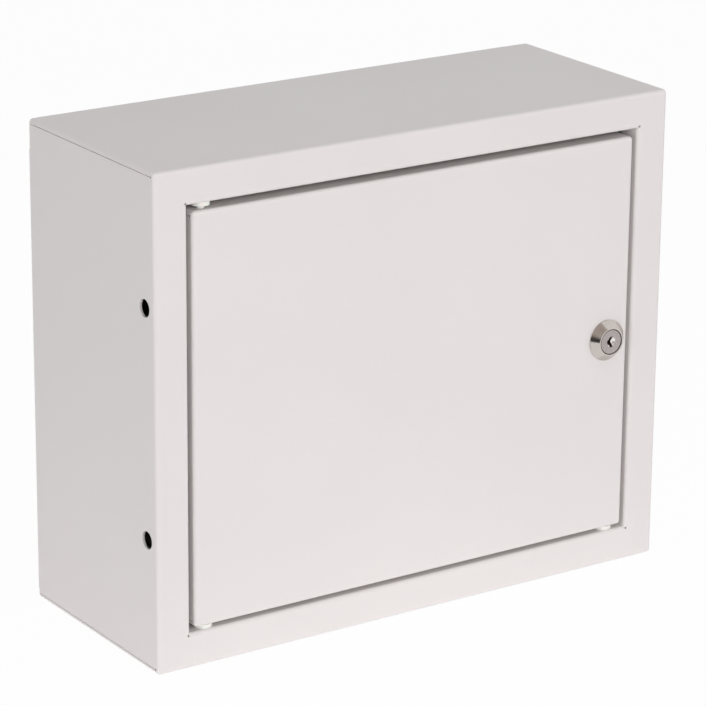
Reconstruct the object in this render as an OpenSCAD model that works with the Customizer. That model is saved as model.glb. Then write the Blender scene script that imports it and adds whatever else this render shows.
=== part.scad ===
// Small steel wall enclosure: a folded case with a flush door, nylon pivots,
// a cam lock and a mounting plate inside.
// The origin is the centre of the wall face. +X is right, the door faces -Y, +Z is up.

/* [Case] */
// Overall width of the case
case_w = 300; // [280:1:400]
// Overall height of the case
case_h = 250; // [230:1:400]
// Overall depth, from the wall to the front face
case_d = 120; // [90:1:200]
// Thickness of the folded steel sheet
sheet_t = 1.2; // [1:0.1:1.4]
// Inside radius of every bend
bend_in = 0.8; // [0.6:0.1:1]
// Width of the front frame round the door opening
frame_w = 18; // [17:0.5:24]
// Width of the flanges folded in at the back
rear_flange_w = 15; // [12:0.5:18]
// How far each rear flange stops short of the outer corner
rear_flange_notch = 5; // [3:0.5:6]
// Open seam where a side meets the edge of the next one
seam_w = 0.3; // [0.2:0.1:0.5]
// Width of the lap that backs each corner seam inside the case
seam_lap_w = 10; // [6:1:14]
// Diameter of the small relief holes where folds meet
relief_d = 1.2; // [0.8:0.1:1.6]

/* [Side and wall holes] */
// Diameter of the fixing holes in the two sides
side_hole_d = 9; // [6:0.5:11]
// Distance of the side holes behind the front face
side_hole_depth = 9.5; // [8:0.5:11]
// Height between the two side holes
side_hole_pitch = 116; // [80:1:140]
// Diameter of the wall fixing holes in the back panel
wall_hole_d = 7; // [5:0.5:9]
// Width between the wall fixing holes
wall_pitch_x = 250; // [200:1:254]
// Height between the wall fixing holes
wall_pitch_z = 200; // [190:1:204]
// Diameter of the knock-outs for cable entry in the bottom
knockout_d = 22.5; // [16:0.5:28]
// Distance between neighbouring knock-outs
knockout_pitch = 70; // [45:1:80]
// Distance of the knock-outs from the wall
knockout_y = 48; // [40:1:55]
// Width of the cut round each knock-out
knockout_cut = 0.4; // [0.3:0.1:0.6]
// Width of the two bridges that hold a knock-out
knockout_bridge = 2.5; // [2:0.5:4]

/* [Door] */
// Gap between the door and the frame on the left and right
door_gap_side = 2.7; // [2.2:0.1:3.2]
// Gap above the door
door_gap_top = 3.6; // [3:0.1:4]
// Depth of the door with its folded edges
door_depth = 14; // [12.5:0.5:16]
// Width of the open slit at each corner of the door
door_slit_w = 0.4; // [0.3:0.1:0.6]
// Clearance between the shut door and its stop lip
stop_clear = 0.3; // [0.2:0.1:0.6]
// How far the stop lip reaches in from the edge of the opening
stop_lip_w = 5.5; // [4.5:0.1:5.8]
// Length of the stop lip
stop_lip_len = 170; // [120:1:180]

/* [Pivots] */
// Distance from the hinge edge of the door to the pivot axis
pivot_in = 7.7; // [7:0.1:9]
// Distance of the pivot axis behind the front face
pivot_depth = 6; // [5.5:0.1:6.5]
// Diameter of the pivot's disc between frame and door
pivot_disc_d = 9.2; // [8:0.1:10]
// Thickness of the pivot's disc
pivot_disc_t = 2; // [1.6:0.1:2.2]
// Diameter of the barrel that snaps into the frame
pivot_barrel_d = 6; // [5.5:0.1:6.5]
// Diameter of the stub that the door turns on
pivot_stub_d = 4; // [3.5:0.1:4.5]
// How far the stub reaches past the door's sheet
pivot_stub_over = 3; // [2:0.1:4]
// Radial running clearance of the stub in the door
pivot_fit = 0.07; // [0.03:0.01:0.1]
// Vertical play of the door above the lower disc
pivot_play = 0.2; // [0.1:0.05:0.3]
// Height of the nose that the spare hole's plug shows in the gap
plug_nose_h = 0.8; // [0.5:0.1:1.2]

/* [Lock] */
// Distance from the free edge of the door to the lock's centre
lock_in = 13.3; // [13:0.1:14]
// How far the lock sits below the middle of the door
lock_drop = 1; // [0:0.5:30]
// Diameter of the bezel where it meets the door
bezel_d = 21.5; // [20:0.5:23]
// Diameter of the bezel's front rim
bezel_rim_d = 15.4; // [15:0.1:16]
// Height of the bezel in front of the door
bezel_h = 4.3; // [3:0.1:5]
// Diameter of the threaded housing
housing_d = 18; // [17.5:0.1:18.2]
// Width across the housing's two flats
housing_flats = 16; // [15.5:0.1:16.5]
// Length of the housing behind the door's face
housing_len = 16.4; // [16.3:0.1:17]
// Diameter of the plug's head
plug_head_d = 13; // [12.6:0.1:13.4]
// Diameter of the plug's barrel
plug_d = 11.4; // [11:0.1:11.8]
// Radial running clearance of the plug in the housing
plug_fit = 0.05; // [0.02:0.01:0.1]
// Width of the plug's square tail
tail_w = 7; // [6.5:0.1:7.5]
// Turn of the key from open to locked, in degrees
key_turn = 90; // [85:1:95]
// Number of wafers in the plug
wafer_count = 5; // [4:1:5]
// Thickness of one wafer
wafer_t = 0.9; // [0.7:0.05:1]
// Thickness of the cam
cam_t = 2; // [1.5:0.1:2.5]
// Width of the cam
cam_w = 12; // [11:0.5:13]
// Length of the cam from the lock's centre to its tip
cam_len = 24; // [23:0.5:26]

/* [Mounting plate] */
// Width of the mounting plate
plate_w = 250; // [220:1:254]
// Height of the mounting plate
plate_h = 180; // [150:1:184]
// Thickness of the mounting plate
plate_t = 2; // [1.5:0.1:3]
// Corner radius of the mounting plate
plate_corner_r = 4; // [2:0.5:8]
// Distance of the plate's studs from its edges
plate_stud_in = 12; // [10:1:20]
// Height of the sleeves that hold the plate off the back
sleeve_h = 12; // [8:1:20]
// Outside diameter of the sleeves
sleeve_d = 12; // [10:0.5:14]

/* [Studs and fasteners] */
// Diameter of the welded studs
stud_d = 6; // [5:1:6]
// How far a stud stands out of its nut
stud_over = 2; // [1:0.5:3]
// Width across the flats of the stud nuts
nut_flats = 10; // [9:0.5:11]
// Thickness of the stud nuts
nut_t = 5; // [4:0.5:6]
// Diameter of the washers
washer_d = 12; // [11:0.5:14]
// Thickness of the washers
washer_t = 1.6; // [1:0.1:2]
// Radial clearance of a stud in a hole, sleeve or washer
stud_clear = 0.3; // [0.2:0.05:0.5]
// Radial clearance of a nut's bore on its stud
thread_fit = 0.05; // [0.02:0.01:0.1]
// Distance of the case's earth stud from the left side
earth_stud_x = 50; // [40:1:70]
// Distance of the case's earth stud from the bottom
earth_stud_z = 20; // [18:1:22]
// Distance of the door's earth stud from the hinge edge of the door
door_stud_x = 30; // [25:1:60]
// Distance of the door's earth stud from the bottom edge of the door
door_stud_z = 24; // [20:1:40]

/* [Hidden] */
$fn = 64;

// How far a cut runs past the face it goes through
cut = 1;
// How far one piece of a sheet runs into the next, so that they are one
join = 0.4;
// How far beyond the end of a bend a slit starts
past_bend = 0.2;

// Bends and the door opening
bend_out = bend_in + sheet_t;
front_y = -case_d;
open_w = case_w - 2 * frame_w;
open_h = case_h - 2 * frame_w;
return_d = door_depth + stop_clear + sheet_t;

// The door
door_gap_bottom = pivot_disc_t + pivot_play;
door_w = open_w - 2 * door_gap_side;
door_h = open_h - door_gap_top - door_gap_bottom;
door_z = (door_gap_bottom - door_gap_top) / 2;
door_left = -door_w / 2;
door_bottom = door_z - door_h / 2;
door_top = door_z + door_h / 2;
door_inner_y = front_y + sheet_t;

// The pivots: the spare pair mirrors the pair in use
pivot_x = door_left + pivot_in;
pivot_y = front_y + pivot_depth;
pivot_barb = 0.4;
pivot_barb_h = 2.4;
pivot_tip_taper = 1;
pivot_chamfer = 0.8;
pivot_hole_fit = 0.05;

// The spare hole's plug: its flange stays clear of the bend in front of it
plug_flange_d = 2 * (pivot_depth - bend_out - 0.2);
plug_flange_t = 1.2;
plug_nose_taper = 1.6;

// The lock
lock_x = door_w / 2 - lock_in;
lock_z = door_z - lock_drop;
bezel_edge = 0.6;
rim_chamfer = 0.3;
mouth_chamfer = 0.25;
plug_recess = 0.3;
plug_head_t = 1.7;
plug_chamfer = 0.25;
housing_hole_fit = 0.1;
lock_washer_t = 1;
lock_nut_flats = 22;
lock_nut_t = 5;
lock_turn_gap = 0.2;
stop_pin_d = 2;
stop_pin_r = 7;
stop_pin_len = 4;
stop_pin_s = housing_len - 2.4;
stop_pin_margin = 12;
cam_s = housing_len + lock_turn_gap;
cam_hub_d = cam_w + 2;
cam_tip_r = 2;
tail_fit = 0.05;
cam_washer_d = 10;
cam_washer_t = 1;
cam_screw_d = 4;
cam_screw_len = 6;
cam_screw_head_d = 7.5;
cam_screw_head_t = 2.6;
cam_screw_edge = 0.6;
cam_screw_end_gap = 1;
cross_slot_w = 1;
cross_slot_len = 4;
cross_slot_depth = 1.4;
wafer_w = 7;
wafer_fit = 0.08;
wafer_inset = 0.1;
wafer_first_s = 1.2;
wafer_pitch = 2.3;
wafer_window = [3.4, 6.4];
keyway_depth = 12;
keyway_dish_d = 5.2;
keyway_dish_depth = 1.1;

// Bores of washers and nuts, and the flat ring on a nut's faces as a share of its width across the flats
stud_bore = stud_d + 2 * stud_clear;
nut_bore = stud_d + 2 * thread_fit;
nut_face = 1.04;

// The back panel, the plate and what stands on the panel
panel_fit = 0.3;
panel_front_y = -2 * sheet_t;
panel_w = case_w - 2 * (bend_out + panel_fit);
panel_h = case_h - 2 * (bend_out + panel_fit);
plate_back_y = panel_front_y - sleeve_h;
plate_front_y = plate_back_y - plate_t;
plate_stud_x = plate_w / 2 - plate_stud_in;
plate_stud_z = plate_h / 2 - plate_stud_in;

// ---- Shapes that are used more than once ----

// A rectangle with round corners
module rounded_rect(w, h, r) {
    square([w - 2 * r, h], center = true);
    square([w, h - 2 * r], center = true);
    for (sx = [-1, 1], sz = [-1, 1]) {
        translate([sx * (w / 2 - r), sz * (h / 2 - r)]) circle(r = r);
    }
}

// A flat shape drawn in X and Z, made solid from y_from to y_to
module along_depth(y_from, y_to) {
    translate([0, y_to, 0]) rotate([90, 0, 0]) linear_extrude(y_to - y_from) children();
}

// A round bar or hole along the depth
module depth_rod(d, x, z, y_from, y_to) {
    translate([x, y_to, z]) rotate([90, 0, 0]) cylinder(d = d, h = y_to - y_from);
}

// A tray's outer form (inset 0) or its hollow (inset sheet_t): its front edges are bent round
module tray_form(w, h, back_y, inset) {
    r = bend_out - inset;
    bend_y = front_y + bend_out;
    along_depth(bend_y, back_y) rounded_rect(w - 2 * inset, h - 2 * inset, r);
    translate([0, bend_y - r / 2, 0]) cube([w - 2 * bend_out, r, h - 2 * bend_out], center = true);
    for (s = [-1, 1]) {
        translate([0, bend_y, s * (h / 2 - bend_out)]) rotate([0, 90, 0])
            cylinder(r = r, h = w - 2 * bend_out, center = true);
        translate([s * (w / 2 - bend_out), bend_y, 0]) cylinder(r = r, h = h - 2 * bend_out, center = true);
        for (t = [-1, 1]) {
            translate([s * (w / 2 - bend_out), bend_y, t * (h / 2 - bend_out)]) sphere(r = r);
        }
    }
}

// A sheet folded into a tray that opens at back_y
module folded_tray(w, h, back_y) {
    difference() {
        tray_form(w, h, back_y, 0);
        tray_form(w, h, back_y + cut, sheet_t);
    }
}

// Section of a sheet that turns through a right angle and runs on for flange_len.
// The centre of the bend is the origin, and the sheet arrives along -Y and leaves along -X.
module bend_section(flange_len) {
    intersection() {
        difference() {
            circle(r = bend_out);
            circle(r = bend_in);
        }
        square(bend_out + cut);
    }
    translate([-flange_len, bend_in]) square([flange_len, sheet_t]);
    translate([bend_in, -join]) square([sheet_t, join]);
}

// The slits where the sides of a tray meet its top and bottom folds, with a relief hole at the front
module corner_slits(w, h, width, back_y) {
    start_y = front_y + bend_out + past_bend;
    for (sx = [-1, 1], sz = [-1, 1]) {
        translate([sx * (w / 2 - sheet_t / 2), 0, sz * (h / 2 - bend_out - past_bend - width / 2)]) {
            translate([0, (start_y + back_y) / 2, 0])
                cube([sheet_t + 2 * join, back_y - start_y, width], center = true);
            translate([0, start_y + relief_d / 2, 0]) rotate([0, 90, 0])
                cylinder(d = relief_d, h = sheet_t + 2 * join, center = true);
        }
    }
}

// A hexagonal nut along the depth, with its back face at y and two flats facing left and right
module hex_nut(flats, thick, bore, x, z, y) {
    face_d = flats * nut_face;
    translate([x, y, z]) rotate([90, 0, 0]) difference() {
        intersection() {
            rotate([0, 0, 30]) cylinder(d = flats / cos(30), h = thick, $fn = 6);
            cylinder(d1 = face_d, d2 = face_d + 2 * thick, h = thick);
            translate([0, 0, -2 * thick]) cylinder(d1 = face_d + 6 * thick, d2 = face_d, h = 3 * thick);
        }
        translate([0, 0, -cut]) cylinder(d = bore, h = thick + 2 * cut);
    }
}

// A flat washer along the depth, with its back face at y
module flat_washer(outer, thick, bore, x, z, y) {
    translate([x, y, z]) rotate([90, 0, 0]) difference() {
        cylinder(d = outer, h = thick);
        translate([0, 0, -cut]) cylinder(d = bore, h = thick + 2 * cut);
    }
}

// A welded stud along -Y with a small chamfer at its tip
module weld_stud(x, z, y, length) {
    chamfer = 0.6;
    translate([x, y, z]) rotate([90, 0, 0]) {
        cylinder(d = stud_d, h = length - chamfer);
        translate([0, 0, length - chamfer]) cylinder(d1 = stud_d, d2 = stud_d - 2 * chamfer, h = chamfer);
    }
}

// The four places where the mounting plate is fixed
module at_plate_studs() {
    for (sx = [-1, 1], sz = [-1, 1]) translate([sx * plate_stud_x, 0, sz * plate_stud_z]) children();
}

// ---- The case ----

// Four bars round the door opening with their front inner edges rounded, mitred where they meet.
// Inset 0 gives their outside, and inset sheet_t what is hollow in them.
// The bar on the lock side is shorter, because its sheet turns in behind the door as a lip.
module opening_bars(inset) {
    over = inset > 0 ? cut : 0;
    reach = frame_w / 2 + over;
    for (k = [0:3]) {
        across = k % 2 == 0;
        back = return_d + over - (k == 3 ? bend_out : 0);
        rotate([0, 90 * k, 0]) translate([0, front_y, -(across ? open_h : open_w) / 2])
            rotate([90, 0, -90]) linear_extrude((across ? open_w : open_h) + 2 * reach, center = true) {
            translate([-bend_out, -bend_out]) circle(r = bend_out - inset);
            translate([-back, -reach]) square([back - inset, reach - bend_out]);
            translate([-back, -reach]) square([back - bend_out, reach - inset]);
        }
    }
}

// The frame's inner part and the edges of the opening, folded back into the case
module opening_returns() {
    difference() {
        opening_bars(0);
        opening_bars(sheet_t);
    }
}

// The lip on the lock side that the shut door rests on and the cam grips behind
module stop_lip() {
    lip_bend_y = front_y + return_d - bend_out;
    translate([open_w / 2 - bend_in, lip_bend_y, 0]) linear_extrude(stop_lip_len, center = true) {
        bend_section(stop_lip_w - bend_in);
    }
}

// The four flanges at the back, each running from near one corner to the flange of the next side
module rear_flanges() {
    for (k = [0:3]) {
        across = k % 2 == 0;
        long_side = across ? case_w : case_h;
        high = across ? case_h : case_w;
        run_from = -long_side / 2 + rear_flange_notch;
        run_to = long_side / 2 - rear_flange_w - seam_w;
        rotate([0, 90 * k, 0])
            translate([(run_from + run_to) / 2, -bend_out, high / 2 - bend_out]) rotate([0, -90, 0])
            linear_extrude(run_to - run_from, center = true) bend_section(rear_flange_w - bend_out);
    }
}

// The laps that back the four corner seams from inside
module seam_laps() {
    lap_h = seam_lap_w + bend_out - sheet_t;
    lap_x = case_w / 2 - 1.5 * sheet_t;
    lap_z = case_h / 2 - sheet_t - lap_h / 2;
    lap_from = front_y + bend_out + relief_d;
    lap_to = panel_front_y - panel_fit;
    for (sx = [-1, 1], sz = [-1, 1]) {
        translate([sx * lap_x, (lap_from + lap_to) / 2, sz * lap_z])
            cube([sheet_t, lap_to - lap_from, lap_h], center = true);
    }
}

// Holes and knock-outs in the sides and the bottom
module side_holes() {
    for (sx = [-1, 1], sz = [-1, 1]) {
        translate([sx * (case_w / 2 - sheet_t / 2), front_y + side_hole_depth, sz * side_hole_pitch / 2])
            rotate([0, 90, 0]) cylinder(d = side_hole_d, h = 3 * sheet_t, center = true);
    }
}

module knockouts() {
    for (i = [-1, 0, 1]) {
        translate([i * knockout_pitch, -knockout_y, -case_h / 2 + sheet_t / 2]) difference() {
            cylinder(d = knockout_d, h = 3 * sheet_t, center = true);
            cylinder(d = knockout_d - 2 * knockout_cut, h = 4 * sheet_t, center = true);
            cube([2 * knockout_d, knockout_bridge, 4 * sheet_t], center = true);
        }
    }
}

// Holes in the frame for the pivots, their spare pair and the glide
module pivot_holes() {
    for (sx = [-1, 1], sz = [-1, 1]) {
        translate([sx * pivot_x, pivot_y, sz * (open_h + sheet_t) / 2])
            cylinder(d = pivot_barrel_d + 2 * pivot_hole_fit, h = sheet_t + 2 * join, center = true);
    }
}

// Small holes where the folds of the opening meet at its corners
module opening_reliefs() {
    for (sx = [-1, 1], sz = [-1, 1]) {
        depth_rod(relief_d, sx * (open_w + bend_out) / 2, sz * (open_h + bend_out) / 2,
            front_y - cut, front_y + bend_out + cut);
    }
}

module case_shell() {
    color("gainsboro") difference() {
        union() {
            difference() {
                folded_tray(case_w, case_h, -bend_out);
                along_depth(front_y - cut, front_y + bend_out + cut)
                    square([open_w + frame_w - 2 * join, open_h + frame_w - 2 * join], center = true);
                corner_slits(case_w, case_h, seam_w, -bend_out + cut);
            }
            opening_returns();
            stop_lip();
            rear_flanges();
            seam_laps();
        }
        side_holes();
        knockouts();
        pivot_holes();
        opening_reliefs();
    }
}

module back_panel() {
    color("whitesmoke") difference() {
        along_depth(panel_front_y, -sheet_t) rounded_rect(panel_w, panel_h, bend_out);
        for (sx = [-1, 1], sz = [-1, 1]) {
            depth_rod(wall_hole_d, sx * wall_pitch_x / 2, sz * wall_pitch_z / 2, panel_front_y - cut, 0);
        }
    }
}

// ---- Pivots ----

// A nylon pivot that hangs from the frame: barrel up through the sheet, disc below it, stub down.
// Z = 0 is the face of the frame's return.
module pivot_body(disc_d, stub_len) {
    barb_d = pivot_barrel_d + 2 * pivot_barb;
    tip_d = pivot_barrel_d - pivot_tip_taper;
    translate([0, 0, -join]) cylinder(d = pivot_barrel_d, h = sheet_t + 2 * join);
    translate([0, 0, sheet_t + join]) cylinder(d1 = barb_d, d2 = tip_d, h = pivot_barb_h);
    translate([0, 0, -pivot_disc_t]) cylinder(d = disc_d, h = pivot_disc_t);
    if (stub_len > 0) {
        translate([0, 0, -pivot_disc_t - stub_len + pivot_chamfer])
            cylinder(d = pivot_stub_d, h = stub_len);
        translate([0, 0, -pivot_disc_t - stub_len])
            cylinder(d1 = pivot_stub_d - 2 * pivot_chamfer, d2 = pivot_stub_d, h = pivot_chamfer);
    }
}

module upper_pivot() {
    color("white") translate([pivot_x, pivot_y, open_h / 2])
        pivot_body(pivot_disc_d, door_gap_top - pivot_disc_t + sheet_t + pivot_stub_over);
}

module lower_pivot() {
    color("white") translate([pivot_x, pivot_y, -open_h / 2]) mirror([0, 0, 1])
        pivot_body(pivot_disc_d, pivot_play + sheet_t + pivot_stub_over);
}

// The same moulding without a stub: the free end of the door slides onto it
module door_glide() {
    color("white") translate([-pivot_x, pivot_y, -open_h / 2]) mirror([0, 0, 1])
        pivot_body(pivot_disc_d, 0);
}

// Closes the spare upper hole from behind, so only its nose shows in the gap
module spare_hole_plug() {
    color("white") translate([-pivot_x, pivot_y, open_h / 2]) {
        cylinder(d = pivot_barrel_d, h = sheet_t + join);
        translate([0, 0, sheet_t]) cylinder(d = plug_flange_d, h = plug_flange_t);
        translate([0, 0, -plug_nose_h])
            cylinder(d1 = pivot_barrel_d - plug_nose_taper, d2 = pivot_barrel_d, h = plug_nose_h);
    }
}

// ---- Mounting plate ----

plate_stud_len = sleeve_h + plate_t + washer_t + nut_t + stud_over;

module plate_studs() {
    color("silver") at_plate_studs() weld_stud(0, 0, panel_front_y, plate_stud_len);
}

module plate_sleeves() {
    color("silver") at_plate_studs() flat_washer(sleeve_d, sleeve_h, stud_bore, 0, 0, panel_front_y);
}

module mounting_plate() {
    color("lightsteelblue") difference() {
        along_depth(plate_front_y, plate_back_y) rounded_rect(plate_w, plate_h, plate_corner_r);
        at_plate_studs() depth_rod(stud_bore, 0, 0, plate_front_y - cut, plate_back_y + cut);
    }
}

module plate_washers() {
    color("silver") at_plate_studs() flat_washer(washer_d, washer_t, stud_bore, 0, 0, plate_front_y);
}

module plate_nuts() {
    color("silver") at_plate_studs()
        hex_nut(nut_flats, nut_t, nut_bore, 0, 0, plate_front_y - washer_t);
}

// ---- Earth studs ----

case_stud_x = -case_w / 2 + earth_stud_x;
case_stud_z = -case_h / 2 + earth_stud_z;
case_stud_len = 2 * washer_t + 2 * nut_t + stud_over;

module case_earth_stud() {
    color("silver") weld_stud(case_stud_x, case_stud_z, panel_front_y, case_stud_len);
}

module case_earth_washers() {
    color("silver") for (lift = [0, washer_t + nut_t]) {
        flat_washer(washer_d, washer_t, stud_bore, case_stud_x, case_stud_z, panel_front_y - lift);
    }
}

module case_earth_nuts() {
    color("silver") for (lift = [washer_t, 2 * washer_t + nut_t]) {
        hex_nut(nut_flats, nut_t, nut_bore, case_stud_x, case_stud_z, panel_front_y - lift);
    }
}

// The door's stud points into the case, so it is the case's stud turned round
module on_door_stud() {
    translate([door_left + door_stud_x, door_inner_y, door_bottom + door_stud_z])
        rotate([0, 0, 180]) children();
}

module door_earth_stud() {
    color("silver") on_door_stud() weld_stud(0, 0, 0, washer_t + nut_t + stud_over);
}

module door_earth_washers() {
    color("silver") on_door_stud() flat_washer(washer_d, washer_t, stud_bore, 0, 0, 0);
}

module door_earth_nut() {
    color("silver") on_door_stud() hex_nut(nut_flats, nut_t, nut_bore, 0, 0, -washer_t);
}

// ---- The door ----

// Section of the housing: a circle with two flats
module flatted_circle(d, flats) {
    intersection() {
        circle(d = d);
        square([2 * d, flats], center = true);
    }
}

module door_leaf() {
    back_y = front_y + door_depth;
    color("gainsboro") difference() {
        translate([0, 0, door_z]) difference() {
            folded_tray(door_w, door_h, back_y);
            corner_slits(door_w, door_h, door_slit_w, back_y + cut);
        }
        translate([lock_x, 0, lock_z]) along_depth(front_y - cut, door_inner_y + cut)
            flatted_circle(housing_d + 2 * housing_hole_fit, housing_flats + 2 * housing_hole_fit);
        for (z = [door_bottom, door_top]) {
            translate([pivot_x, pivot_y, z])
                cylinder(d = pivot_stub_d + 2 * pivot_fit, h = 2 * sheet_t + 2 * cut, center = true);
        }
    }
}

// ---- The lock ----

// Lock pieces are drawn along +Z from the door's face and then laid along +Y
module at_lock() {
    translate([lock_x, front_y, lock_z]) rotate([-90, 0, 0]) children();
}

// The space for the plug and its head, from the chamfered mouth at Z = 0
module housing_bore() {
    head_r = plug_head_d / 2 + plug_fit;
    bore_r = plug_d / 2 + plug_fit;
    end = bezel_h + housing_len + cut;
    rotate_extrude() polygon([[0, -cut], [head_r + mouth_chamfer + cut, -cut], [head_r, mouth_chamfer],
        [head_r, plug_recess + plug_head_t], [bore_r, plug_recess + plug_head_t], [bore_r, end], [0, end]]);
}

module lock_housing() {
    rim_r = bezel_rim_d / 2;
    color("silver") at_lock() difference() {
        union() {
            rotate_extrude() polygon([[0, 0], [bezel_d / 2, 0], [bezel_d / 2, -bezel_edge],
                [rim_r, -bezel_h + rim_chamfer], [rim_r - rim_chamfer, -bezel_h], [0, -bezel_h]]);
            linear_extrude(housing_len) flatted_circle(housing_d, housing_flats);
        }
        translate([0, 0, -bezel_h]) housing_bore();
        translate([0, 0, stop_pin_s - stop_pin_d / 2 - lock_turn_gap])
            rotate([0, 0, 90 - stop_pin_margin - key_turn])
            rotate_extrude(angle = key_turn + 2 * stop_pin_margin)
            square([stop_pin_r + lock_turn_gap, stop_pin_d + 2 * lock_turn_gap]);
    }
}

module lock_washer() {
    color("silver") flat_washer(lock_nut_flats, lock_washer_t, housing_d + 2 * thread_fit,
        lock_x, lock_z, door_inner_y + lock_washer_t);
}

module lock_nut() {
    color("silver") hex_nut(lock_nut_flats, lock_nut_t, housing_d + 2 * thread_fit,
        lock_x, lock_z, door_inner_y + lock_washer_t + lock_nut_t);
}

// The shaped section that only its own key fits
module keyway_section() {
    polygon([[-0.9, 2.8], [0.7, 2.8], [0.7, 1.2], [1.5, 0.5], [1.5, -1.2], [0.8, -1.8],
        [0.8, -2.8], [-0.9, -2.8], [-0.9, -1], [-0.4, -0.4], [-0.4, 0.4], [-0.9, 1]]);
}

module wafer_places() {
    for (i = [0 : wafer_count - 1]) translate([0, 0, wafer_first_s + i * wafer_pitch]) children();
}

module lock_plug() {
    front_s = plug_recess - bezel_h;
    head_r = plug_head_d / 2;
    tail_len = cam_t - lock_turn_gap / 2;
    slot_w = wafer_w + 2 * wafer_fit;
    color("silver") at_lock() difference() {
        union() {
            translate([0, 0, front_s]) rotate_extrude() polygon([[0, 0], [head_r - plug_chamfer, 0],
                [head_r, plug_chamfer], [head_r, plug_head_t], [plug_d / 2, plug_head_t],
                [plug_d / 2, cam_s - front_s], [0, cam_s - front_s]]);
            translate([-tail_w / 2, -tail_w / 2, cam_s - join]) cube([tail_w, tail_w, join + tail_len]);
        }
        translate([0, 0, front_s - cut]) linear_extrude(keyway_depth - front_s + cut) rotate(180)
            keyway_section();
        translate([0, 0, front_s - cut]) cylinder(d1 = keyway_dish_d + 2 * cut,
            d2 = keyway_dish_d - 2 * keyway_dish_depth, h = keyway_dish_depth + cut);
        wafer_places() translate([-slot_w / 2, -plug_d, -wafer_fit])
            cube([slot_w, 2 * plug_d, wafer_t + 2 * wafer_fit]);
        translate([0, 0, cam_s + cam_t - cam_screw_len])
            cylinder(d = cam_screw_d + 2 * thread_fit, h = cam_screw_len + cut);
        translate([0, stop_pin_r - stop_pin_len, stop_pin_s]) rotate([-90, 0, 0])
            cylinder(d = stop_pin_d, h = stop_pin_r);
    }
}

module lock_wafers() {
    color("goldenrod") at_lock() wafer_places() linear_extrude(wafer_t) difference() {
        intersection() {
            circle(r = plug_d / 2 - wafer_inset);
            square([wafer_w, 2 * plug_d], center = true);
        }
        square(wafer_window, center = true);
    }
}

module lock_stop_pin() {
    color("silver") at_lock() translate([0, stop_pin_r - stop_pin_len, stop_pin_s]) rotate([-90, 0, 0])
        cylinder(d = stop_pin_d, h = stop_pin_len);
}

module lock_cam() {
    color("silver") at_lock() translate([0, 0, cam_s]) linear_extrude(cam_t) difference() {
        union() {
            circle(d = cam_hub_d);
            translate([-cam_w / 2, 0]) square([cam_w, cam_len - cam_tip_r]);
            translate([-cam_w / 2 + cam_tip_r, 0]) square([cam_w - 2 * cam_tip_r, cam_len]);
            for (s = [-1, 1]) {
                translate([s * (cam_w / 2 - cam_tip_r), cam_len - cam_tip_r]) circle(r = cam_tip_r);
            }
        }
        square(tail_w + 2 * tail_fit, center = true);
    }
}

module cam_washer() {
    color("silver") at_lock() translate([0, 0, cam_s + cam_t]) difference() {
        cylinder(d = cam_washer_d, h = cam_washer_t);
        translate([0, 0, -cut]) cylinder(d = cam_screw_d + 2 * stud_clear, h = cam_washer_t + 2 * cut);
    }
}

module cam_screw() {
    head_s = cam_s + cam_t + cam_washer_t;
    top_s = head_s + cam_screw_head_t;
    edge_s = top_s - cam_screw_edge;
    edge_d = cam_screw_head_d - 2 * cam_screw_edge;
    shank = cam_screw_len + cam_washer_t - cam_screw_end_gap;
    color("silver") at_lock() difference() {
        union() {
            translate([0, 0, head_s - shank]) cylinder(d = cam_screw_d, h = shank + join);
            translate([0, 0, head_s]) cylinder(d = cam_screw_head_d, h = edge_s - head_s);
            translate([0, 0, edge_s]) cylinder(d1 = cam_screw_head_d, d2 = edge_d, h = cam_screw_edge);
        }
        for (a = [0, 90]) {
            rotate(a) translate([-cross_slot_len / 2, -cross_slot_w / 2, top_s - cross_slot_depth])
                cube([cross_slot_len, cross_slot_w, cross_slot_depth + cut]);
        }
    }
}

case_shell();
back_panel();
upper_pivot();
lower_pivot();
door_glide();
spare_hole_plug();
plate_studs();
plate_sleeves();
mounting_plate();
plate_washers();
plate_nuts();
case_earth_stud();
case_earth_washers();
case_earth_nuts();
door_leaf();
door_earth_stud();
door_earth_washers();
door_earth_nut();
lock_housing();
lock_washer();
lock_nut();
lock_plug();
lock_wafers();
lock_stop_pin();
lock_cam();
cam_washer();
cam_screw();
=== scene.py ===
# %% [markdown]
# # A small steel wall enclosure
# The case and its door are folded from thin sheet and powder coated. The door turns on white nylon
# pivots, and a nickel-plated cam lock holds it shut. The steel, the nylon and the lock all come from
# the CAD model as real solids. This lesson gives each of them its finish, and sets up the camera,
# the floor and the light.

# %% Load the frame
import math

import bpy
from mathutils import Matrix, Vector


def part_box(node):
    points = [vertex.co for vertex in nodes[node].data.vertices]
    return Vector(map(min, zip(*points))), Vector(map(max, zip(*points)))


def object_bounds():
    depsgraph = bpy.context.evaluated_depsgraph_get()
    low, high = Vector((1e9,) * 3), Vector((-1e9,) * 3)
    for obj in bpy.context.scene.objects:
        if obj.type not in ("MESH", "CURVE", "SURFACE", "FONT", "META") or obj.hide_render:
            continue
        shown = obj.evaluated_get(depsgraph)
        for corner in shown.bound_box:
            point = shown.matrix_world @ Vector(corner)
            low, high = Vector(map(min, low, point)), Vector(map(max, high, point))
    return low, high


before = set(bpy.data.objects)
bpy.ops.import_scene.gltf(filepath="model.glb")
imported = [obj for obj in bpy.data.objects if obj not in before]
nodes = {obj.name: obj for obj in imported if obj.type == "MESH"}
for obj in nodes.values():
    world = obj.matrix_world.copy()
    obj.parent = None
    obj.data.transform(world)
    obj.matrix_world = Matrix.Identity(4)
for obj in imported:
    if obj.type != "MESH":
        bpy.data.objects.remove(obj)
cad_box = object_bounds()
print("CAD box in mm:", [[round(v * 1000, 1) for v in corner] for corner in cad_box])

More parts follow.
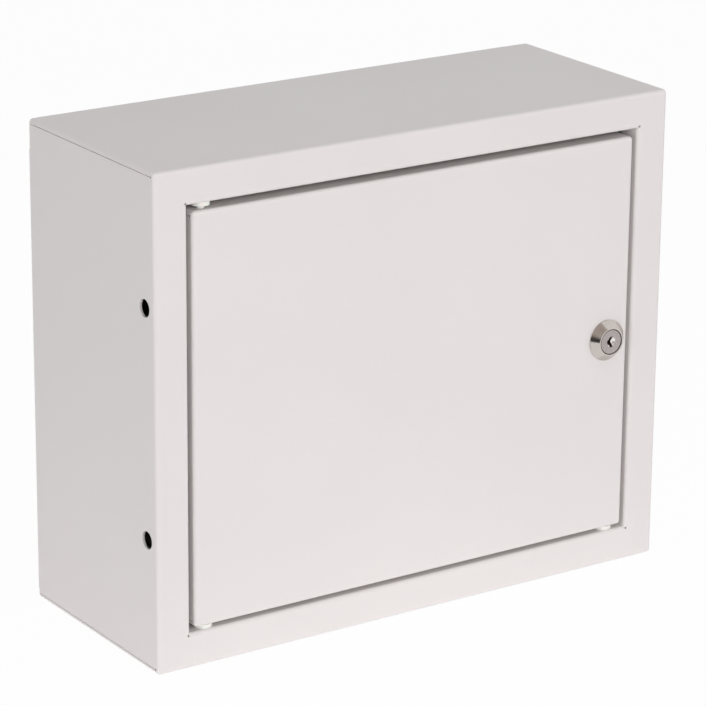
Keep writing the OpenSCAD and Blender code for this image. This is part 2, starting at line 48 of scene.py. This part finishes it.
# %% [markdown]
# ## The camera
# A long lens from a good distance keeps the edges of a box nearly parallel, as in a catalogue. The
# camera could be turned with a constraint that tracks a target, but a plain matrix is as short and
# leaves nothing to evaluate: the camera's own Z axis points away from the target, X goes to the
# right and Y goes up.

# %% Place the camera
MM = 0.001
TURN_LEFT = math.radians(33.86)
LOOK_DOWN = math.radians(18.43)
TILT = math.radians(0.48)
DISTANCE = 1.760
LENS_MM = 177.7
AIM = Vector((0, -0.060, 0))
AIM_RIGHT = 0.0008
AIM_DOWN = 0.0047


def camera_axes(turn, down, tilt):
    """The camera's right, up and backward directions."""
    back = Vector((-math.sin(turn) * math.cos(down),
                   -math.cos(turn) * math.cos(down), math.sin(down)))
    right = (-back).cross(Vector((0, 0, 1))).normalized()
    up = right.cross(-back)
    return (math.cos(tilt) * right + math.sin(tilt) * up,
            math.cos(tilt) * up - math.sin(tilt) * right,
            back)


right, up, back = camera_axes(TURN_LEFT, LOOK_DOWN, TILT)
place = AIM + AIM_RIGHT * right - AIM_DOWN * up + DISTANCE * back
camera_data = bpy.data.cameras.new("catalogue_camera")
camera_data.lens = LENS_MM
camera_data.sensor_width = 36
camera = bpy.data.objects.new("catalogue_camera", camera_data)
camera.matrix_world = Matrix.Translation(place) @ Matrix((right, up, back)).transposed().to_4x4()
bpy.context.scene.collection.objects.link(camera)
bpy.context.scene.camera = camera
print("camera at", [round(v, 3) for v in place])

# %% [markdown]
# ## A small language for materials
# A material is a graph of nodes. Written node by node it is long and hard to read, so here one class
# wraps a socket: adding or multiplying two of them adds the Math node that does it, and writing a
# formula draws its graph. Colours and vectors don't go through Math nodes, which would turn them
# into one number; they have Mix and Vector Math.

# %% Wrap a socket


class Value:
    """A node's output that can be added, multiplied and compared like a number."""

    def __init__(self, tree, socket):
        self.tree = tree
        self.socket = socket

    def math(self, operation, *others):
        return self.tree.add("ShaderNodeMath", {"operation": operation}, [self, *others])

    def __add__(self, other):
        return self.math("ADD", other)

    def __radd__(self, other):
        return self.math("ADD", other)

    def __mul__(self, other):
        return self.math("MULTIPLY", other)

    def __rmul__(self, other):
        return self.math("MULTIPLY", other)

    def __sub__(self, other):
        return self.math("SUBTRACT", other)

    def __rsub__(self, other):
        return self.tree.add("ShaderNodeMath", {"operation": "SUBTRACT"}, [other, self])

    def __truediv__(self, other):
        return self.math("DIVIDE", other)


# %% Build a graph


class Finish:
    """A material, or the world, under construction."""

    def __init__(self, owner):
        owner.use_nodes = True
        self.owner = owner
        self.graph = owner.node_tree
        self.graph.nodes.clear()

    def add(self, kind, settings=None, inputs=None, output=0):
        """Adds a node: its settings first, then the values or links of its sockets."""
        node = self.graph.nodes.new(kind)
        for name, setting in (settings or {}).items():
            if name == "stops":
                self.set_stops(node.color_ramp.elements, setting)
            else:
                setattr(node, name, setting)
        given = inputs.items() if isinstance(inputs, dict) else enumerate(inputs or [])
        for name, value in given:
            self.put(node.inputs[name], value)
        return Value(self, node.outputs[output]) if node.outputs else None

    def put(self, socket, value):
        if isinstance(value, Value):
            self.graph.links.new(value.socket, socket)
        elif hasattr(socket.default_value, "__len__") and len(socket.default_value) == 4:
            socket.default_value = (*value[:3], 1)
        else:
            socket.default_value = value

    @staticmethod
    def set_stops(elements, stops):
        while len(elements) < len(stops):
            elements.new(1)
        for element, (position, grey) in zip(elements, stops):
            element.position = position
            element.color = (grey, grey, grey, 1)

    def mix(self, factor, low, high):
        """One colour where factor is 0, the other where it is 1."""
        node = self.graph.nodes.new("ShaderNodeMix")
        node.data_type = "RGBA"
        for index, value in ((0, factor), (6, low), (7, high)):
            self.put(node.inputs[index], value)
        return Value(self, node.outputs[2])

    def coordinates(self, scale=(1, 1, 1)):
        """Places on the piece in metres, stretched along the axes."""
        place = self.add("ShaderNodeTexCoord", output="Object")
        return self.add("ShaderNodeVectorMath", {"operation": "MULTIPLY"}, [place, scale])

    def noise(self, size_mm, detail=2, roughness=0.5, stretch=(1, 1, 1)):
        """Soft noise, whose spots are about size_mm across before the stretch."""
        return self.add("ShaderNodeTexNoise", None, {"Vector": self.coordinates(stretch),
                        "Scale": 1000 / size_mm, "Detail": detail, "Roughness": roughness})

    def ramp(self, value, *stops):
        """A smooth curve through (input, output) points, as a grey value."""
        return self.add("ShaderNodeValToRGB", {"stops": stops}, [value])

    def bump(self, height, depth_mm, under=None):
        """A normal that follows a height of 0 to 1, depth_mm deep."""
        inputs = {"Height": height, "Distance": depth_mm * MM, "Strength": 1}
        if under:
            inputs["Normal"] = under
        return self.add("ShaderNodeBump", None, inputs)

    def surface(self, **sockets):
        """The shader that everything feeds. A socket's name is written with _ for its spaces."""
        shader = self.add("ShaderNodeBsdfPrincipled", None,
                          {name.replace("_", " "): value for name, value in sockets.items()})
        self.add("ShaderNodeOutputMaterial", None, {"Surface": shader})
        return self.owner


def dress(material, *names):
    """Gives CAD nodes their finish."""
    for name in names:
        slots = nodes[name].data.materials
        slots.clear()
        slots.append(material)
    print(material.name, "->", ", ".join(names))


# %% [markdown]
# ## Powder coat
# The paint goes on as powder and melts in an oven, so it has no brush marks. What shows is a fine
# orange peel of soft bumps one or two millimetres across, a satin gloss that varies a little, and a
# warm light grey that is hardly ever quite even. Noise at three sizes makes all of it: the finest is
# bump alone, and the widest only tints the colour by a percent or two.

# %% Powder coat
PAINT_DARK = (0.765, 0.727, 0.720)
PAINT_LIGHT = (0.785, 0.745, 0.738)
CLOUD_MM = 90
SPECKLE_MM = 0.9
PEEL_MM = 1.6
PEEL_DEPTH_MM = 0.012


def make_powder_coat():
    coat = Finish(bpy.data.materials.new("powder_coat"))
    cloudy = coat.noise(CLOUD_MM, detail=3)
    speckle = coat.noise(SPECKLE_MM, detail=1)
    peel = coat.noise(PEEL_MM, detail=2, roughness=0.45)
    tint = coat.ramp(cloudy * 0.8 + speckle * 0.2, (0.35, 0), (0.65, 1))
    colour = coat.mix(tint, PAINT_DARK, PAINT_LIGHT)
    gloss = coat.ramp(cloudy, (0.3, 0.36), (0.7, 0.44))
    return coat.surface(Base_Color=colour, Roughness=gloss, Normal=coat.bump(peel, PEEL_DEPTH_MM),
                        IOR=1.5, Specular_IOR_Level=0.5)


dress(make_powder_coat(), "case_shell", "door_leaf", "back_panel")

# %% [markdown]
# ## White nylon
# The pivots, the glide and the plug of the spare hole are small mouldings. Nylon is slightly
# translucent and never quite matt. A little subsurface scattering softens its shadows, which a plain
# white surface would not do.

# %% Nylon


def make_nylon():
    nylon = Finish(bpy.data.materials.new("white_nylon"))
    flow = nylon.noise(3, detail=3, stretch=(1, 1, 0.4))
    colour = nylon.mix(flow, (0.86, 0.84, 0.80), (0.91, 0.90, 0.87))
    gloss = nylon.ramp(flow, (0.3, 0.34), (0.7, 0.46))
    return nylon.surface(Base_Color=colour, Roughness=gloss, Normal=nylon.bump(flow, 0.01),
                         Subsurface_Weight=0.15, Subsurface_Scale=0.001, IOR=1.53)


dress(make_nylon(), "upper_pivot", "lower_pivot", "door_glide", "spare_hole_plug")

# %% [markdown]
# ## Zinc on steel
# The mounting plate is cut from galvanised sheet, whose zinc has frozen in crystals that show as
# faint leafy patches. The studs, nuts and washers are plated bright, with the fine scratches of
# their tumbling. Both are metals, so their colour is what they reflect, and the pattern works
# mostly through the roughness.

# %% Galvanised sheet and plated parts
SPANGLE_MM = 7


def make_galvanised():
    zinc = Finish(bpy.data.materials.new("galvanised_sheet"))
    bend = zinc.noise(6, detail=2)
    crystals = zinc.add("ShaderNodeTexVoronoi", {"feature": "F1"},
                        {"Vector": zinc.coordinates(), "Scale": 1000 / SPANGLE_MM, "Randomness": 1})
    spangle = zinc.ramp(crystals * 0.8 + bend * 0.4, (0.2, 0), (0.8, 1))
    colour = zinc.mix(spangle, (0.50, 0.52, 0.54), (0.64, 0.65, 0.66))
    gloss = zinc.ramp(spangle, (0.1, 0.34), (0.9, 0.50))
    return zinc.surface(Base_Color=colour, Metallic=1.0, Roughness=gloss,
                        Normal=zinc.bump(spangle, 0.01))


def make_plated():
    plated = Finish(bpy.data.materials.new("zinc_plated_steel"))
    wear_and_highlight = plated.noise(4, detail=4)
    scratches = plated.noise(0.6, detail=2, stretch=(1, 1, 0.15))
    colour = plated.mix(wear_and_highlight, (0.56, 0.57, 0.58), (0.70, 0.70, 0.69))
    gloss = plated.ramp(wear_and_highlight * 0.6 + scratches * 0.4, (0.3, 0.24), (0.7, 0.42))
    return plated.surface(Base_Color=colour, Metallic=1.0, Roughness=gloss,
                          Normal=plated.bump(scratches, 0.006))


dress(make_galvanised(), "mounting_plate")
dress(make_plated(), "plate_studs", "plate_sleeves", "plate_washers", "plate_nuts",
      "case_earth_stud", "case_earth_washers", "case_earth_nuts",
      "door_earth_stud", "door_earth_washers", "door_earth_nut",
      "lock_washer", "lock_nut", "lock_cam", "cam_washer", "cam_screw", "lock_stop_pin")

# %% [markdown]
# ## The lock
# The lock's housing and plug are cast, turned and nickel plated. Nickel is a warm grey metal with a
# soft polish. The tool that turned the bezel has left rings too fine to see one by one: they only
# blur the reflection round the axis. So the pattern is made from the distance to the lock's axis.
# The same distance places two painted marks: painted shade, a dark ring in the narrow gap round
# the plug, and a painted highlight, a light patch at the mouth of the keyway.

# %% Nickel and brass

plug_low, plug_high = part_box("lock_plug")
housing_low, housing_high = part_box("lock_housing")
LOCK_X = (plug_low.x + plug_high.x) / 2
LOCK_Z = housing_low.z / 2 + housing_high.z / 2

PLUG_RADIUS = (plug_high.x - plug_low.x) / 2
# Painted shade: a near-black ring this wide on either side of the plug's edge, and its colour.
GAP_SHADE_WIDTH = 0.22 * MM
GAP_SHADE_COLOUR = (0.05, 0.04, 0.035)
# Inside this radius of the axis the plug gets a painted highlight.
KEYWAY_RADIUS = 2.6 * MM
RING_PITCH = 0.25 * MM
print("lock axis at", round(LOCK_X * 1000, 2), round(LOCK_Z * 1000, 2), "mm")


def make_nickel(name, dark, light, polish, wear_and_highlight=None):
    """Nickel between two shades, as rough as polish, with an optional painted keyway highlight."""
    nickel = Finish(bpy.data.materials.new(name))
    place = nickel.add("ShaderNodeTexCoord", output="Object")
    offset = nickel.add("ShaderNodeVectorMath", {"operation": "SUBTRACT"},
                        [place, (LOCK_X, 0, LOCK_Z)])
    flat = nickel.add("ShaderNodeVectorMath", {"operation": "MULTIPLY"}, [offset, (1, 0, 1)])
    radius = nickel.add("ShaderNodeVectorMath", {"operation": "LENGTH"}, [flat], output="Value")
    rings = (radius * (2 * math.pi / RING_PITCH)).math("SINE") * 0.5 + 0.5
    tarnish = nickel.noise(5, detail=4)
    colour = nickel.mix(tarnish, dark, light)
    # Painted highlight: lighter nickel inside the keyway radius.
    if wear_and_highlight:
        colour = nickel.mix(radius.math("LESS_THAN", KEYWAY_RADIUS), colour, wear_and_highlight)
    # Painted shade: a near-black ring along the gap round the plug.
    gap_shade = (radius - PLUG_RADIUS).math("ABSOLUTE").math("LESS_THAN", GAP_SHADE_WIDTH)
    colour = nickel.mix(gap_shade, colour, GAP_SHADE_COLOUR)
    gloss = nickel.ramp(tarnish * 0.7 + rings * 0.3, (0.3, polish), (0.7, polish + 0.10))
    return nickel.surface(Base_Color=colour, Metallic=1.0, Roughness=gloss,
                          Normal=nickel.bump(rings, 0.001))


def make_brass():
    brass = Finish(bpy.data.materials.new("wafer_brass"))
    stain = brass.noise(2, detail=3)
    colour = brass.mix(stain, (0.60, 0.42, 0.16), (0.74, 0.56, 0.26))
    gloss = brass.ramp(stain, (0.3, 0.28), (0.7, 0.45))
    return brass.surface(Base_Color=colour, Metallic=1.0, Roughness=gloss,
                         Normal=brass.bump(stain, 0.004))


# %% Dress the lock
dress(make_nickel("nickel_bezel", (0.52, 0.475, 0.445), (0.62, 0.57, 0.535), 0.10),
      "lock_housing")
# The last colour is the plug's painted highlight at the keyway.
dress(make_nickel("nickel_plug", (0.39, 0.345, 0.34), (0.45, 0.405, 0.40), 0.22,
                  (0.86, 0.83, 0.81)), "lock_plug")
dress(make_brass(), "lock_wafers")

# %% [markdown]
# ## The floor and the world
# The case stands on a white light table in white surroundings. The camera and every mirror-like
# reflection see the table and the world as plain white, so the background needs no brighter lamps.
# A small part of the table stays ordinary paper, and that part keeps the soft shadow. Near the case
# the table also gives a little light from below, which makes the lower half of each side the
# brighter one.

# %% Floor and surroundings
SHOWN_WHITE = 0.97
TABLE_GLOW = 0.28
GLOW_FULL = 0.30
GLOW_ENDS = 0.60
WORLD_LEVEL = 0.25


def seen_directly(finish):
    """1 for rays of the camera, reflections and glass, and 0 for the light that falls on things."""
    rays = [finish.add("ShaderNodeLightPath", output=name)
            for name in ("Is Camera Ray", "Is Glossy Ray", "Is Transmission Ray")]
    return rays[0].math("MAXIMUM", rays[1]).math("MAXIMUM", rays[2])


def make_floor(half=6.0):
    level = cad_box[0].z
    mesh = bpy.data.meshes.new("studio_floor")
    corners = ((-half, -half), (half, -half), (half, half), (-half, half))
    mesh.from_pydata([(x, y, level) for x, y in corners], [], [(0, 1, 2, 3)])
    floor = bpy.data.objects.new("studio_floor", mesh)
    bpy.context.scene.collection.objects.link(floor)
    paper = Finish(bpy.data.materials.new("white_paper"))
    seen = seen_directly(paper)
    grain = paper.noise(40, detail=3)
    fibres = paper.mix(grain, (0.86, 0.86, 0.86), (0.88, 0.88, 0.88))
    diffuse = paper.add("ShaderNodeBsdfDiffuse", None, {"Color": fibres})
    white = paper.add("ShaderNodeEmission", None, {"Color": (1, 1, 1), "Strength": 1.0})
    shown = paper.add("ShaderNodeMixShader", None, [seen * SHOWN_WHITE, diffuse, white])
    distance = paper.add("ShaderNodeVectorMath", {"operation": "LENGTH"}, [paper.coordinates()],
                         output="Value")
    glow = paper.ramp(distance, (GLOW_FULL, TABLE_GLOW), (GLOW_ENDS, 0.0)) * (1 - seen)
    table = paper.add("ShaderNodeEmission", None, {"Color": glow, "Strength": 1.0})
    lit = paper.add("ShaderNodeAddShader", None, [shown, table])
    paper.add("ShaderNodeOutputMaterial", None, {"Surface": lit})
    mesh.materials.append(paper.owner)


def make_world(level):
    world = bpy.data.worlds.new("studio")
    bpy.context.scene.world = world
    sky = Finish(world)
    grey = seen_directly(sky) * (1 - level) + level
    background = sky.add("ShaderNodeBackground", None, {"Color": grey, "Strength": 1.0})
    sky.add("ShaderNodeOutputWorld", None, {"Surface": background})


make_floor()
make_world(WORLD_LEVEL)
print("world level", WORLD_LEVEL, "| table glow", TABLE_GLOW)

# %% [markdown]
# ## The lamps
# The front of the case is its brightest side, the left side is a step darker and the top darker
# still. So the main softbox stands in front and only a little above the case, a second one at the
# left, and a weak one at the right fills the shadows. Each is wide, because a small lamp or a sun
# would cut hard shadows into the gap round the door. The lamps are hidden from the camera, so that
# no view from another side looks into one, and the top one is hidden from reflections too, because
# the polished lock would show it as a hard white streak.

# %% Lamps


def add_lamp(name, place, size, watts, mirrored=True):
    """A softbox that faces the middle of the case."""
    data = bpy.data.lights.new(name, "AREA")
    data.shape = "RECTANGLE"
    data.size, data.size_y = size
    data.energy = watts
    lamp = bpy.data.objects.new(name, data)
    lamp.location = place
    lamp.rotation_mode = "QUATERNION"
    lamp.rotation_quaternion = (Vector(place) - AIM).to_track_quat("Z", "Y")
    lamp.visible_camera = False
    lamp.visible_glossy = mirrored
    bpy.context.scene.collection.objects.link(lamp)
    print(name, watts, "W")


add_lamp("front_softbox", (-0.5, -1.8, 0.5), (1.2, 1.0), 13.4)
add_lamp("left_softbox", (-1.7, -0.35, 0.15), (1.2, 1.0), 8.4)
add_lamp("right_fill", (1.5, -1.3, 0.4), (0.8, 0.8), 4.3)
add_lamp("top_softbox", (0.1, -0.5, 1.5), (0.9, 0.9), 5.6, mirrored=False)

# %% [markdown]
# ## A card for the lock
# Bright metal has hardly a colour of its own: it shows what stands round it, and in an all-white
# room it looks like paper. Photographers hold a dark card next to it. This one is a piece of a
# sphere round the lock that only reflections can see, far enough out for the door to swing. It
# stands in front of the case on the left, where the slope of the lock's bezel mirrors it and neither
# flat side of the case does. It is no lamp, yet its shade glows as its own light, from black near
# the table to a warm grey above, with a ragged line between.

# %% Card in front of the lock


CARD_RADIUS = 0.75
CARD_SIDES = (186, 285)
CARD_HEIGHTS = (-19, 66)
CARD_BLACK = (0.02, 0.018, 0.016)
CARD_GREY = (0.52, 0.47, 0.44)


def make_card(name, centre, radius, sides, heights, steps=16):
    """A patch of a sphere, between two angles round the centre and two angles above the level."""
    points, quads = [], []
    for i in range(steps + 1):
        for k in range(steps + 1):
            turn = math.radians(sides[0] + (sides[1] - sides[0]) * i / steps)
            rise = math.radians(heights[0] + (heights[1] - heights[0]) * k / steps)
            points.append(centre + radius * Vector((math.cos(turn) * math.cos(rise),
                                                    math.sin(turn) * math.cos(rise), math.sin(rise))))
            if i and k:
                a = i * (steps + 1) + k
                quads.append((a, a - 1, a - steps - 2, a - steps - 1))
    mesh = bpy.data.meshes.new(name)
    mesh.from_pydata(points, [], quads)
    card = bpy.data.objects.new(name, mesh)
    card_glow = Finish(bpy.data.materials.new(name))
    place = card_glow.add("ShaderNodeTexCoord", output="Object")
    height = card_glow.add("ShaderNodeSeparateXYZ", None, [place], output="Z")
    level = (height - centre.z) / radius + (card_glow.noise(45, detail=4) - 0.5) * 0.5
    shade = card_glow.ramp(level, (0.12, 0.0), (0.40, 1.0))
    colour = card_glow.mix(shade, CARD_BLACK, CARD_GREY)
    # The card glows with its own light, though it is no lamp.
    glow = card_glow.add("ShaderNodeEmission", None, {"Color": colour, "Strength": 1.0})
    card_glow.add("ShaderNodeOutputMaterial", None, {"Surface": glow})
    mesh.materials.append(card_glow.owner)
    for kind in ("camera", "diffuse", "shadow", "transmission", "volume_scatter"):
        setattr(card, "visible_" + kind, False)
    bpy.context.scene.collection.objects.link(card)
    print(name, "with", len(quads), "faces")


make_card("dark_card", Vector((LOCK_X, plug_low.y, LOCK_Z)), CARD_RADIUS, CARD_SIDES, CARD_HEIGHTS)

# %% [markdown]
# ## Colours as they are written
# The Standard view shows a colour as its material gives it. Nothing here may make it larger.

# %% Colour management
bpy.context.scene.view_settings.view_transform = "Standard"
